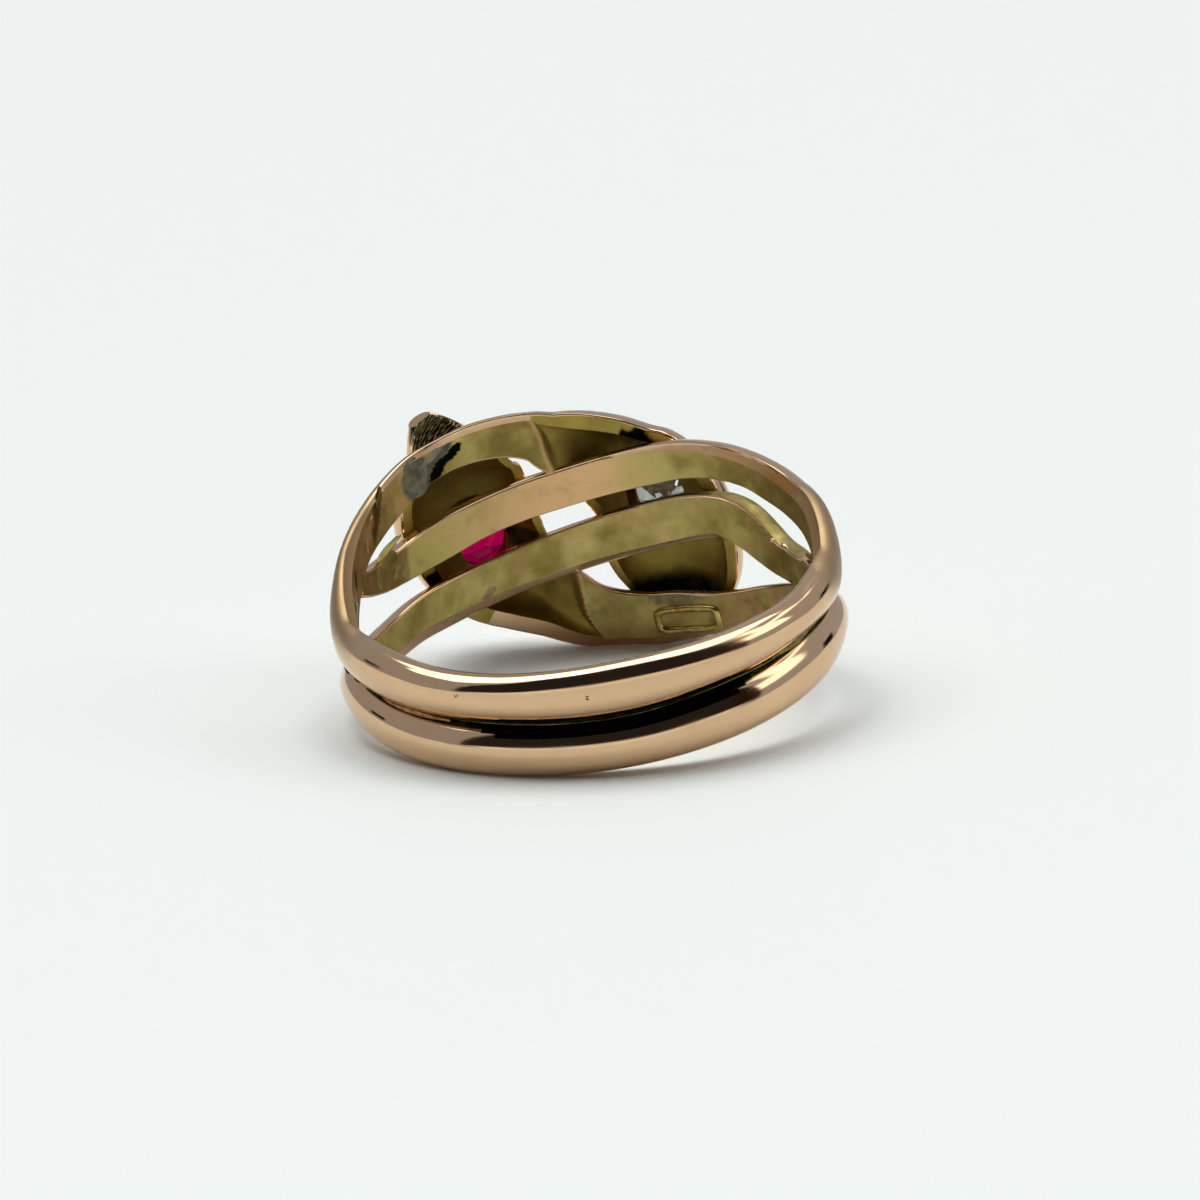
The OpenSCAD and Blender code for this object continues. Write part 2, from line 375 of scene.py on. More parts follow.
    stretched = addNode(tree, "ShaderNodeMapping",
                        {"Vector": flow.outputs["UV"],
                         "Scale": (s["fileLength"], 1 / s["fileMark"] / 2, 1.0)})
    marks = addNode(tree, "ShaderNodeTexNoise",
                    {"Vector": stretched.outputs["Vector"], "Scale": 1.0, "Detail": 3.0})
    bump = addNode(tree, "ShaderNodeBump",
                   {"Height": marks.outputs["Fac"], "Strength": s["fileDepth"],
                    "Distance": ring["bumpDepth"]})
    ridgeBump = addNode(tree, "ShaderNodeBump",
                        {"Height": raised.outputs["Value"], "Strength": 1.0,
                         "Distance": ring["bumpDepth"], "Normal": bump.outputs["Normal"]})
    rough = addNode(tree, "ShaderNodeMapRange",
                    {"Value": shares["film"], "To Min": s["roughness"][0],
                     "To Max": s["roughness"][1]})
    shader = addNode(tree, "ShaderNodeBsdfPrincipled",
                     {"Base Color": colour, "Metallic": 1.0, "Roughness": rough.outputs["Result"],
                      "Normal": ridgeBump.outputs["Normal"]})
    addNode(tree, "ShaderNodeOutputMaterial", {"Surface": shader.outputs["BSDF"]})
    return material


# Solders: lumpy where they ran and froze, each its own colour.
solderSettings = {
    "old lead solder": {"light": "#9F9B88", "dark": "#636152", "roughness": 0.5, "grain": 0.6},
    "bright yellow gold": {"light": "#E0C880", "dark": "#B09850", "roughness": 0.25, "grain": 0.3},
    "yellow gold solder": {"light": "#AC9C5E", "dark": "#867A42", "roughness": 0.45, "grain": 0.5},
    "green gold solder": {"light": "#7F7748", "dark": "#5F5930", "roughness": 0.25, "grain": 0.5},
    "olive groove line": {"light": "#66602F", "dark": "#332E14", "roughness": 0.4, "grain": 0.4},
    "cream gold solder": {"light": "#EBD6AE", "dark": "#C4A878", "roughness": 0.12, "grain": 0.3},
    "reddish fired solder": {"light": "#B98A58", "dark": "#7A4F28", "roughness": 0.3, "grain": 0.4},
    # black: real tarnish in nicks and stains, painted shade in the notch and painted dark reflection beside
    # the groove
    "black tarnish and painted shade": {"light": "#1D140E", "dark": "#080605", "roughness": 0.14, "grain": 0.5},
}
solderPattern = {
    "lightBelow": 0.35,  # of the cloud noise
    "darkAbove": 0.65,
    "wrinkles": 0.25,  # strength of the bumps
}


def makeSolder(name):
    s = solderSettings[name]
    material, tree = newMaterial(name)
    where = addNode(tree, "ShaderNodeTexCoord")
    cloud = addNode(tree, "ShaderNodeTexNoise",
                    {"Vector": where.outputs["Object"], "Scale": perMillimetre(s["grain"]), "Detail": 3.0})
    colour = addNode(tree, "ShaderNodeValToRGB", {"Fac": cloud.outputs["Fac"]},
                     stops=[(solderPattern["lightBelow"], linear(s["light"])),
                            (solderPattern["darkAbove"], linear(s["dark"]))])
    bump = addNode(tree, "ShaderNodeBump",
                   {"Height": cloud.outputs["Fac"], "Strength": solderPattern["wrinkles"],
                    "Distance": ring["bumpDepth"]})
    shader = addNode(tree, "ShaderNodeBsdfPrincipled",
                     {"Base Color": colour.outputs["Color"], "Metallic": 1.0, "Roughness": s["roughness"],
                      "Normal": bump.outputs["Normal"]})
    addNode(tree, "ShaderNodeOutputMaterial", {"Surface": shader.outputs["BSDF"]})
    return material


# Ruby, cut and polished corundum: clear, with a pinkish red body colour. Diamond, old
# cut: colourless, with high lustre.
gemSettings = {
    "pinkish red ruby": {"colour": "#B8004F", "roughness": 0.03, "ior": 1.77, "clear": 1.0},
    "colourless diamond": {"colour": "#F4F6F6", "roughness": 0.02, "ior": 2.42, "clear": 0.75},
}


def makeGem(name):
    s = gemSettings[name]
    material, tree = newMaterial(name)
    shader = addNode(tree, "ShaderNodeBsdfPrincipled",
                     {"Base Color": linear(s["colour"]), "Roughness": s["roughness"],
                      "IOR": s["ior"], "Transmission Weight": s["clear"]})
    addNode(tree, "ShaderNodeOutputMaterial", {"Surface": shader.outputs["BSDF"]})
    return material


roseGold = makeRoseGold("polished nine carat rose gold")
satinGold = makeRoseGold("worn satin rose gold")
innerGold = makeInnerGold()
hollowGold = makeHollowGold()
solders = {name: makeSolder(name) for name in solderSettings}
rubyGem = makeGem("pinkish red ruby")
diamondGem = makeGem("colourless diamond")
print("materials made")

# The two snakes. Each is one strand from its tail, across the front, round the back
# and into its neck and head. A shape row is (angle, height, width, rim, crown): the
# rim is the height of the lower edges above the bore and the crown that of the top.
# A finish row is (angle, bevel, edge, square, film, dirt): the bevel and the edge are
# the widths of the polished strips along the lower and the upper inner edge, square
# flattens the upper side, and film and dirt are how much of them covers the inner face.
# A spot row is (layer, angle, height, half length, half width, turn, amount), in
# millimetres and degrees. Angles run on past the first turn. Sag is how far the crown
# leans towards the bottom at the back, and fullness how full its far shoulder is there.
# Lean is how steeply the upper strip leans back, by angle. Slant is how far the crease
# runs on for each millimetre across.
diamondSnake = {
    "name": "diamond_snake",
    "direction": 1,
    "tail": [
        (-74, 1.5, 0.9, 0.1, 0.9),
        (-65, 1.05, 1.15, 0.1, 1),
        (-56, 0.8, 1.4, 0.1, 1),
        (-46, 0.78, 1.6, 0.1, 1),
        (-35, 0.92, 1.75, 0.1, 1),
        (-24, 1.15, 1.65, 0.1, 1),
        (-13, 1.36, 1.65, 0.1, 1),
        (-2, 1.58, 1.65, 0.1, 1),
        (9, 1.87, 1.65, 0.1, 1),
        (20, 2.2, 1.65, 0.1, 1),
        (30, 2.48, 1.55, 0.1, 1),
        (40, 2.57, 1.5, 0.1, 1),
        (49, 2.5, 1.5, 0.1, 1),
        (58, 2.3, 1.65, 0.1, 1),
        (68, 2.1, 1.65, 0.1, 1),
        (79, 1.9, 1.75, 0.1, 1),
        (89, 1.45, 1.9, 0.1, 1),
        (98, 1, 2, 0.1, 1),
        (106, 0.975, 2, 0.1, 1),
    ],
    "front": [
        (-106, 0.975, 2, 0.1, 1),
        (-98, 1, 2, 0.1, 1),
        (-89, 1.4, 2.1, 0.1, 0.95),
        (-79, 2.1, 2, 0.1, 0.8),
        (-69, 2.75, 1.8, 0.1, 0.7),
        (-60, 3.15, 1.8, 0.1, 0.7),
        (-51, 3.55, 1.8, 0.1, 0.7),
        (-42, 3.95, 1.65, 0.1, 0.7),
        (-33, 4.17, 1.5, 0.1, 0.7),
        (-24, 4.25, 1.55, 0.1, 0.8),
        (-15, 4.15, 1.7, 0.1, 0.9),
        (-8, 3.9, 2, 0.1, 1.1),
        (-3, 3.5, 2.5, 0.1, 1.4),
        (4, 3, 3.1, 0.2, 1.9),
        (9, 2.45, 3.7, 0.5, 2.3),
        (13, 1.8, 4.4, 0.8, 2.6),
        (17, 1.1, 5.1, 0.9, 2.9),
        (20, 0.2, 5.6, 0.9, 3),
        (22, -1.1, 5.8, 0.9, 2.9),
        (23.5, -2.5, 5.3, 0.9, 2.6),
        (24.5, -3.8, 4, 0.9, 2.3),
        (25.5, -4.8, 2.6, 1, 2),
        (26.5, -5.5, 1.3, 1.3, 1.8),
    ],
    "finish": [
        (-74, 0.1, 0.08, 0, 0.6, 0.6),
        (-52, 0.1, 0.08, 0, 0.7, 0.55),
        (-49.5, 0.08, 0.08, 0, 0.8, 0.35),
        (-49, 0.08, 0.08, 0, 1, -0.4),
        (-36, 0.08, 0.1, 0, 0.9, -0.4),
        (-26, 0.08, 0.12, 0, 0.5, -0.2),
        (-12, 0.08, 0.12, 0, 0.1, -0.2),
        (9, 0.08, 0.12, 0, 0, -0.3),
        (17, 0.08, 0.2, 0, 0.8, -0.5),
        (27, 0.08, 0.3, 0, 1, -0.35),
        (40, 0.1, 0.42, 0, 1, 0.15),
        (60, 0.1, 0.5, 0, 0.9, 0.5),
        (80, 0.1, 0.45, 0, 0.7, 0.6),
        (98, 0.1, 0.4, 0, 0.7, 0.6),
        (114, 0.08, 0.1, 0, 0.5, 0.3),
        (246, 0.08, 0.1, 0, 0.5, 0.3),
        (258, 0.1, 0.4, 0, 0.3, 0.6),
        (285, 0.1, 0.35, 0, 0.3, 0.6),
        (300, 0.1, 0.15, 0, 0.5, 0.45),
        (316, 0.1, 0.2, 0, 0.7, 0.25),
        (326, 0.1, 0.28, 0, 1, 0.1),
        (337, 0.1, 0.28, 0, 1, 0.15),
        (344, 0.1, 0.27, 0, 1, 0.5),
        (352, 0.1, 0.26, 0, 1, 0.5),
        (360, 0.1, 0.25, 0, 1, 0.2),
        (390, 0.1, 0.08, 0, 1, 0.3),
    ],
    "spots": [
        ("lead", 318, 3.85, 0.95, 0.85, 35, 1),
        ("lead", 326, 4.4, 0.9, 0.3, 25, 1),
        # painted shadow beneath the lead solder
        ("black", 325, 3.75, 0.65, 0.28, 40, 1),
        ("black", 330.5, 4.25, 0.55, 0.22, 30, 1),
        ("dirt", 301, 3.6, 1.3, 0.3, 62, 0.6),
        ("film", 303, 4.2, 0.8, 0.3, 50, 0.7),
        ("black", 377.2, 3.15, 0.75, 0.5, -12, 1),
        # painted shade low in the diamond head
        ("paintedShade", 378, -4.5, 2.6, 1.4, 0, 0.85),
        # ridges in the diamond's snout, with painted shade and highlights
        ("ridgeWithPaintedLight", 385, -4.9, 1.4, 1, 0, 1),
        # worn shoulders: rougher, and painted darker as painted shade
        ("worn", 277, 2.9, 4.6, 1.1, 17, 1),
        ("worn", 92, 2.1, 3.4, 1, -16, 1),
    ],
    "sag": -1.1,
    "fullness": 0.0,
    "lean": [(-74, 0.12), (55, 0.12), (78, 0.5), (98, 0.65), (114, 0.12),
             (246, 0.12), (258, 0.65), (285, 0.6), (308, 0.12), (390, 0.12)],
    "stripEnds": (0.05, 0.05),  # mm past the crease, of the lower and the upper strip
    "crease": 354.5,  # angle at which the flat inner face drops into the hollow neck
    "slant": 0.56,
}
rubySnake = {
    "name": "ruby_snake",
    "direction": -1,
    "tail": [
        (84, -0.5, 1.2, 0.1, 0.9),
        (77, -0.8, 1.3, 0.1, 0.9),
        (70, -0.93, 1.4, 0.1, 0.95),
        (64, -0.92, 1.45, 0.1, 1),
        (58, -0.83, 1.55, 0.1, 1),
        (53, -0.52, 1.75, 0.1, 1),
        (47, -0.05, 1.9, 0.1, 1),
        (40, 0.23, 1.85, 0.1, 1),
        (30, 0.02, 1.95, 0.1, 1),
        (19, -0.4, 2, 0.1, 1),
        (8, -0.78, 2, 0.1, 1),
        (-3, -1.12, 2, 0.1, 1),
        (-14, -1.42, 1.95, 0.1, 1),
        (-25, -1.64, 1.95, 0.1, 1),
        (-36, -1.78, 2, 0.1, 1),
        (-47, -1.84, 1.95, 0.1, 1),
        (-58, -1.95, 1.9, 0.1, 1),
        (-69, -1.88, 1.9, 0.1, 1),
        (-79, -1.65, 1.9, 0.1, 1),
        (-89, -1.3, 1.95, 0.1, 1),
        (-98, -1, 2, 0.1, 1),
        (-106, -0.975, 2, 0.1, 1),
    ],
    "front": [
        (106, -0.975, 2, 0.1, 1),
        (98, -1, 2, 0.1, 1),
        (89, -1.35, 2, 0.1, 1),
        (79, -1.85, 1.85, 0.1, 1),
        (69, -2.3, 1.75, 0.1, 1),
        (60, -2.75, 1.7, 0.1, 1),
        (51, -3.2, 1.65, 0.1, 1),
        (42, -3.67, 1.65, 0.1, 1),
        (33, -4.04, 1.8, 0.1, 0.95),
        (24, -4.24, 2.15, 0.1, 0.9),
        (15, -4.4, 2.35, 0.1, 0.9),
        (6, -4.22, 2.5, 0.1, 1.1),
        (-1, -3.86, 2.85, 0.1, 1.4),
        (-8, -3.1, 3.3, 0.2, 1.9),
        (-13.5, -2.4, 4, 0.5, 2.4),
        (-18.5, -1.6, 4.8, 0.85, 2.8),
        (-22.5, -0.6, 5.4, 0.9, 3),
        (-25.5, 0.7, 5.7, 0.9, 2.9),
        (-27.7, 2, 5.7, 0.9, 2.6),
        (-28.5, 3.15, 4.4, 0.9, 2.3),
        (-30, 4.1, 3, 0.95, 2),
        (-31.5, 4.9, 1.9, 1.1, 1.8),
        (-32.5, 5.4, 1, 1.3, 1.7),
    ],
    "finish": [
        (84, 0.08, 0.08, 0, 0.9, 0.5),
        (60, 0.08, 0.08, 0.1, 0.9, 0.4),
        (45, 0.08, 0.08, 0.3, 0.9, 0.2),
        (40, 0.12, 0.08, 0.2, 1, 0.1),
        (37, 0.28, 0.08, 0.1, 1, 0.1),
        (25, 0.25, 0.08, 0.1, 0.9, 0.1),
        (0, 0.35, 0.08, 0, 0.9, 0.1),
        (-30, 0.5, 0.08, 0, 0.9, 0.1),
        (-45, 0.6, 0.08, 0, 1, -0.1),
        (-55, 0.6, 0.08, 0, 1, -0.1),
        (-75, 0.55, 0.08, 0, 0.9, 0.3),
        (-100, 0.25, 0.08, 0, 0.6, 0.4),
        (-120, 0.08, 0.08, 0, 0.5, 0.3),
        (-240, 0.08, 0.08, 0, 0.5, 0.3),
        (-262, 0.1, 0.1, 0, 0.5, 0.5),
        (-290, 0.35, 0.1, 0, 0.35, 0.4),
        (-318, 0.45, 0.1, 0, 0.5, 0.3),
        (-328, 0.45, 0.1, 0, 0.8, 0.2),
        (-350, 0.45, 0.1, 0, 0.9, 0.2),
        (-392, 0.1, 0.08, 0, 1, 0.3),
    ],
    "spots": [
        # ridges in the ruby's snout, with painted shade and highlights
        ("ridgeWithPaintedLight", -391, 4.9, 1.6, 1.1, 0, 1),
        ("lead", -25.5, -1.95, 0.5, 0.22, 30, 0.6),
        ("lead", -336, -3.35, 1.6, 0.4, 6, 0.6),
        ("film", -308, -3, 0.25, 0.4, 0, 0.8),
        ("film", -42, -0.9, 0.7, 0.4, 20, 0.5),
        ("lead", -386, -3.1, 0.7, 0.3, -20, 0.9),
        ("black", 64, -1.62, 0.3, 0.12, 15, 0.8),
        # painted shadow low in the ruby head
        ("black", -397, -1.1, 0.75, 0.5, 0, 0.9),
        # painted shade low in the ruby head
        ("paintedShade", -372, -1, 1, 0.6, 0, 0.7),
    ],
    "sag": 0.5,
    "fullness": 1.3,
    "lean": [(84, 0.12), (-392, 0.12)],
    "stripEnds": (4.2, 0.05),
    "crease": -360.5,
    "slant": -0.62,
}
sweep = {
    "outerPoints": 21,
    "innerPoints": 21,
    "wall": 0.42,  # gauge of the stamped heads
    "farWall": 0.66,  # the same on the side away from the other head
    "bevelLean": 0.34,  # how far a polished strip leans back from the finger
    "lip": 0.02,  # height of a plain inner edge above the bore
    "fillet": 0.09,  # radius of the worn inner edges
    "filletPoints": 3,
    "step": 0.2,  # distance between sections
    "fineStep": 0.07,  # the same around the crease
    "fineReach": 2.2,
    "creaseDrop": 0.3,  # how fast the hollow starts
    "hollowLength": 2.4,
    "snoutRows": 1.2,  # rows from the snout over which the hollow closes
    "snoutWall": 0.4,  # share of the wall that is left at the snout
    "sharpAngle": 28,
    "slopeStep": 0.05,
    "headRows": 8,  # rows from the snout that are swept in shorter steps
    "headStep": 0.6,  # share of the step there
    "slowest": 0.3,  # mm a row
    "edgeRim": 0.1,  # the lowest rim, from which an inner edge rises
    "filletShare": 0.7,  # of a strip's width that its worn edge may take
    "creaseShare": 0.45,  # of the hollow's depth that is reached at once
    "leastHollow": 0.2,  # share of the half width that a hollow keeps
    "thinRows": 5,  # rows from the snout over which the wall thins
    "squaring": 6,  # how much squareness flattens the upper side
    "outside": -1.0,  # stands for the distance past the crease on the outside
}


def smoothRow(rows, place):
    last = len(rows) - 1
    place = min(max(place, 0), last)
    i = min(int(place), last - 1)
    v = place - i
    one, two = rows[i], rows[i + 1]
    zero = rows[i - 1] if i > 0 else [2 * p - q for p, q in zip(one, two)]
    three = rows[i + 2] if i < last - 1 else [2 * q - p for p, q in zip(one, two)]
    return [
        0.5 * (2 * b + (c - a) * v + (2 * a - 5 * b + 4 * c - d) * v * v + (3 * b - a - 3 * c + d) * v ** 3)
        for a, b, c, d in zip(zero, one, two, three)
    ]


def finishAt(rows, angle, direction):
    along = [row[0] * direction for row in rows]
    at = angle * direction
    for i in range(len(rows) - 1):
        if at <= along[i + 1] or i == len(rows) - 2:
            t = min(max((at - along[i]) / (along[i + 1] - along[i]), 0), 1)
            return [p + (q - p) * t for p, q in zip(rows[i][1:], rows[i + 1][1:])]


# The wires round the back: (angle, height of the groove, height of the top edge, how far
# the crowns sag towards the bottom). The shoulders away from the groove are fuller.
backWires = {
    "rows": [
        (100, 0.05, 1.7, 0),
        (120, 0.2, 1.82, 0.08),
        (135, 0.12, 1.92, 0.16),
        (150, 0.1, 1.98, 0.2),
        (165, -0.04, 2.08, 0.2),
        (180, -0.1, 2.07, 0.2),
        (195, -0.04, 1.96, 0.2),
        (210, -0.02, 1.88, 0.2),
        (225, -0.04, 1.9, 0.16),
        (240, -0.04, 2, 0.08),
        (260, 0, 2, 0),
    ],
    "bottom": -1.87,
    "overlap": 0.05,
    "rim": 0.1,
    "crowns": {1: 0.95, -1: 1.0},
    "count": 9,
    "fullFrom": (100, 130),  # degrees over which the far shoulder fills out
    "fullTo": (230, 260),  # and over which it slims again
}


def backHeights(angle):
    rows = backWires["rows"]
    for one, two in zip(rows, rows[1:]):
        if angle <= two[0]:
            break
    t = min(max((angle - one[0]) / (two[0] - one[0]), 0), 1)
    return [p + (q - p) * ramp(0, 1, t) for p, q in zip(one[1:], two[1:])]


def wholeRun(snake):
    # tail, back wire and front in one run of rows whose angle only grows or only falls
    direction = snake["direction"]
    shoulder = snake["tail"][-1][0]
    away = snake["front"][0][0] + 360 * direction
    back = []
    for i in range(1, backWires["count"]):
        angle = shoulder + (away - shoulder) * i / backWires["count"]
        groove, top, lean = backHeights(angle % 360)
        low, high = (groove, top) if direction > 0 else (backWires["bottom"], groove)
        crown = backWires["crowns"][direction]
        width = high - low + backWires["overlap"]
        back.append((angle, (low + high) / 2, width, backWires["rim"], crown))
    front = [(row[0] + 360 * direction,) + tuple(row[1:]) for row in snake["front"]]
    return list(snake["tail"]) + back + front


def flatPlace(rows, place):
    angle, height = smoothRow(rows, place)[:2]
    return Vector((math.radians(angle) * ring["flatRadius"], height))


def pastCrease(snake, angle, side):
    along = (angle - snake["crease"]) * snake["direction"] * math.radians(1) * ring["flatRadius"]
    return along + snake["slant"] * side


def hollowShare(snake, rows, place, angle, side):
    inward = pastCrease(snake, angle, side)
    atOnce = sweep["creaseShare"]
    opened = atOnce * ramp(0, sweep["creaseDrop"], inward)
    opened += (1 - atOnce) * ramp(0, sweep["hollowLength"], inward)
    left = len(rows) - 1 - place
    return opened * ramp(0, sweep["snoutRows"], left)


def sectionAt(snake, rows, place):
    # points of (place, place on the flat map, distance past the crease), and the layers
    angle, height, width, rim, crown = smoothRow(rows, place)
    bevel, edge, square, film, dirt = finishAt(snake["finish"], angle, snake["direction"])
    edgeLean = finishAt(snake["lean"], angle, snake["direction"])[0]
    step = sweep["slopeStep"]
    slope = (flatPlace(rows, place + step) - flatPlace(rows, place - step)).normalized()
    across = Vector((-slope.y, slope.x)) * snake["direction"]
    middle = flatPlace(rows, place)
    half = width / 2

    def wrapped(side, out):
        flat = middle + side * across
        return onRing(math.degrees(flat.x / ring["flatRadius"]), flat.y, out), flat

    def lipAt(share):
        # height of the edge on that side above the bore, and its fillet
        strip = (edge, edgeLean) if share > 0 else (bevel, sweep["bevelLean"])
        lip = rim - sweep["edgeRim"] + sweep["lip"] + strip[0] * strip[1]
        lip += (rim - lip) * hollowShare(snake, rows, place, angle, half * share)
        return lip, min(sweep["fillet"], sweep["filletShare"] * strip[0])

    def filletPoint(share, step):
        lip, radius = lipAt(share)
        turn = math.pi / 2 * step / sweep["filletPoints"]
        side = share * (half - radius + radius * math.cos(turn))
        out = lip + radius - radius * math.sin(turn)
        return wrapped(side, out) + (pastCrease(snake, angle, half * share),)

    around = angle % 360
    lean = backHeights(around)[2] * snake["sag"]
    filled = ramp(*backWires["fullFrom"], around) * (1 - ramp(*backWires["fullTo"], around))
    full = filled * snake["fullness"]
    nearSnout = ramp(0, sweep["thinRows"], len(rows) - 1 - place)
    thin = sweep["snoutWall"] + (1 - sweep["snoutWall"]) * nearSnout
    points = []
    for k in range(sweep["outerPoints"]):
        turn = math.pi * k / (sweep["outerPoints"] - 1)
        farSide = math.cos(turn) * snake["direction"] > 0
        squared = sweep["squaring"] * square * (turn < math.pi / 2)
        power = 2 / (2 + squared + full * farSide)
        side = math.copysign(abs(math.cos(turn)) ** power, math.cos(turn))
        rise = abs(math.sin(turn)) ** power
        low = sum(lipAt(side))
        dome = wrapped(half * side - lean * rise, low + (crown - low) * rise)
        points.append(dome + (sweep["outside"],))
    for step in range(1, sweep["filletPoints"] + 1):
        points.append(filletPoint(-1, step))
    for k in range(sweep["innerPoints"]):
        turn = math.pi * (1 - k / (sweep["innerPoints"] - 1))
        share = math.cos(turn)
        hollow = hollowShare(snake, rows, place, angle, half * share)
        solidSide = (half - (edge if share > 0 else bevel)) * share
        solidOut = rim - sweep["edgeRim"]
        wall = thin * (sweep["farWall"] if share * snake["direction"] > 0 else sweep["wall"])
        hollowSide = max(half - wall, sweep["leastHollow"] * half) * share
        hollowOut = rim + max(crown - thin * sweep["wall"] - rim, 0) * math.sin(turn)
        side = solidSide + (hollowSide - solidSide) * hollow
        out = solidOut + (hollowOut - solidOut) * hollow
        points.append(wrapped(side, out) + (pastCrease(snake, angle, half * share),))
    for step in range(sweep["filletPoints"], 0, -1):
        points.append(filletPoint(1, step))
    layers = {"film": film, "dirt": dirt, "lead": 0.0, "black": 0.0, "paintedShade": 0.0, "ridgeWithPaintedLight": 0.0,
              "worn": 0.0, "square": square}
    return points, layers


def stationList(snake, rows):
    stations = [0.0]
    while stations[-1] < len(rows) - 1:
        place = stations[-1]
        angle = smoothRow(rows, place)[0]
        speed = (flatPlace(rows, place + 0.5) - flatPlace(rows, place)).length / 0.5
        fromCrease = abs(angle - snake["crease"]) * math.radians(1) * ring["flatRadius"]
        step = sweep["fineStep"] if fromCrease < sweep["fineReach"] else sweep["step"]
        if place > len(rows) - sweep["headRows"]:
            step = sweep["step"] * sweep["headStep"]
        stations.append(place + step / max(speed, sweep["slowest"]))
    stations[-1] = len(rows) - 1
    return stations


def sweepSnake(snake):
    rows = wholeRun(snake)
    made = [sectionAt(snake, rows, place) for place in stationList(snake, rows)]
    sections = [points for points, layers in made]
    count = len(sections[0])
    bpy.ops.object.select_all(action="DESELECT")
    bpy.ops.mesh.primitive_circle_add(vertices=count, radius=1)
    strand = bpy.context.object
    strand.name = snake["name"]
    bpy.ops.object.mode_set(mode="EDIT")
    mesh = bmesh.from_edit_mesh(strand.data)
    corner = mesh.verts.layers.int.new("corner")
    station = mesh.verts.layers.int.new("station")
    mesh.verts.ensure_lookup_table()
    for number, vert in enumerate(mesh.verts):
        vert[corner] = number
        vert.co = sections[0][number][0]
    bpy.ops.mesh.select_all(action="SELECT")
    for number, points in enumerate(sections[1:], 1):
        bpy.ops.mesh.extrude_region()
        mesh = bmesh.from_edit_mesh(strand.data)
        corner = mesh.verts.layers.int["corner"]
        station = mesh.verts.layers.int["station"]
        for vert in mesh.verts:
            if vert.select:
                vert.co = points[vert[corner]][0]
                vert[station] = number
    bpy.ops.mesh.edge_face_add()
    mesh = bmesh.from_edit_mesh(strand.data)
    station = mesh.verts.layers.int["station"]
    for vert in mesh.verts:
        vert.select = vert[station] == 0
    mesh.select_flush(True)
    bpy.ops.mesh.edge_face_add()
    bpy.ops.mesh.select_all(action="SELECT")
    bpy.ops.mesh.normals_make_consistent(inside=False)
    bpy.ops.object.mode_set(mode="OBJECT")
    paintSnake(snake, strand, sections, [layers for points, layers in made])
    return strand


# Where the finishes of a snake lie. A range is (from, to) in degrees round the ring.
finishSettings = {
    "spotFade": (0.7, 1.25),  # of a spot's size, over which it fades out
    "squareFrom": 0.05,  # squareness from which the upper side counts as file marked
    "squareFaces": 7,
    "blackFaces": 4.2,  # faces from the groove on the lower wire painted black as a painted dark reflection
    "blackFrom": (138, 150),
    "blackTo": (205, 217),
    "oliveFaces": {1: 4, -1: 3},  # faces from the groove painted olive on each snake
    "oliveRange": (102, 250),
}
strandFinishes = [
    ("outside", roseGold),
    ("inside", innerGold),
    ("seat", hollowGold),
    ("file marked", solders["yellow gold solder"]),
    ("strip", satinGold),
    # the black faces beside the groove are a painted dark reflection
    ("black", solders["black tarnish and painted shade"]),
    ("olive", solders["olive groove line"]),
]
finishNumber = {name: number for number, (name, material) in enumerate(strandFinishes)}


def spotShare(spot, flat):
    layer, angle, height, halfLong, halfWide, turn, amount = spot
    offset = flat - Vector((math.radians(angle) * ring["flatRadius"], height))
    along = Vector((math.cos(math.radians(turn)), math.sin(math.radians(turn))))
    across = Vector((-along.y, along.x))
    reach = math.hypot(offset.dot(along) / halfLong, offset.dot(across) / halfWide)
    return amount * (1 - ramp(*finishSettings["spotFade"], reach))


def grooveFinish(snake, low, along):
    # the lower back wire is painted black beside the groove, a painted dark reflection, less
    # so towards the shoulders, and a narrow olive line runs along both wires
    s = finishSettings
    angle = math.degrees(along / ring["flatRadius"]) % 360
    blackFaces = s["blackFaces"] * ramp(*s["blackFrom"], angle) * (1 - ramp(*s["blackTo"], angle))
    if snake["direction"] < 0 and low < blackFaces:
        return "black"
    last = sweep["outerPoints"] - 1
    fromGroove = low if snake["direction"] < 0 else last - 1 - low
    if 0 <= fromGroove < s["oliveFaces"][snake["direction"]] and low < last:
        if s["oliveRange"][0] < angle < s["oliveRange"][1]:
            return "olive"
    return "outside"


